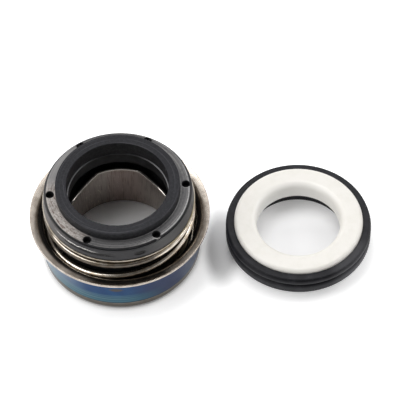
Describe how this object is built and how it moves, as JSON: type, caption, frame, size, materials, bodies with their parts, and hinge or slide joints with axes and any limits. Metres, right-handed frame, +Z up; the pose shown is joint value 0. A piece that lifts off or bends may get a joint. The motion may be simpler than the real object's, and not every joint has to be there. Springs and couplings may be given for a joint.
{
  "type": "mechanical shaft seal",
  "caption": "Mechanical seal for a water pump: press-in flanged steel case with a sprung carbon face on a rubber bellows, and its mating ceramic ring in a ribbed rubber cup.",
  "frame": {"origin": "middle of the set on the plane that both halves stand on", "axes": "+X from the seal head to the mating seat, +Z up along both axes, towards the running faces"},
  "size_m": [0.0596, 0.0314, 0.0176],
  "materials": {
    "stainless": "drawn and polished",
    "lacquer": "semi-gloss film",
    "spring_steel": "bright drawn wire",
    "rubber": "moulded, satin",
    "carbon": "lapped face, moulded shoulder",
    "ceramic": "ground and polished"
  },
  "bodies": {
    "housing": {"outer_case": "stainless", "sealant_band": "lacquer", "spring_seat": "stainless", "coil_spring": "spring_steel", "bellows": "rubber", "ceramic_ring": "ceramic", "seat_cup": "rubber"},
    "face": {"seal_ring": "carbon", "spring_retainer": "stainless"}
  },
  "joints": [
    {"name": "face_slide", "type": "slide", "parent": "housing", "child": "face", "axis": [0, 0, 1], "range_m": [-0.0025, 0], "stiffness_N_per_m": 390, "springref_m": 0.002, "deforming": ["coil_spring", "bellows"]}
  ]
}
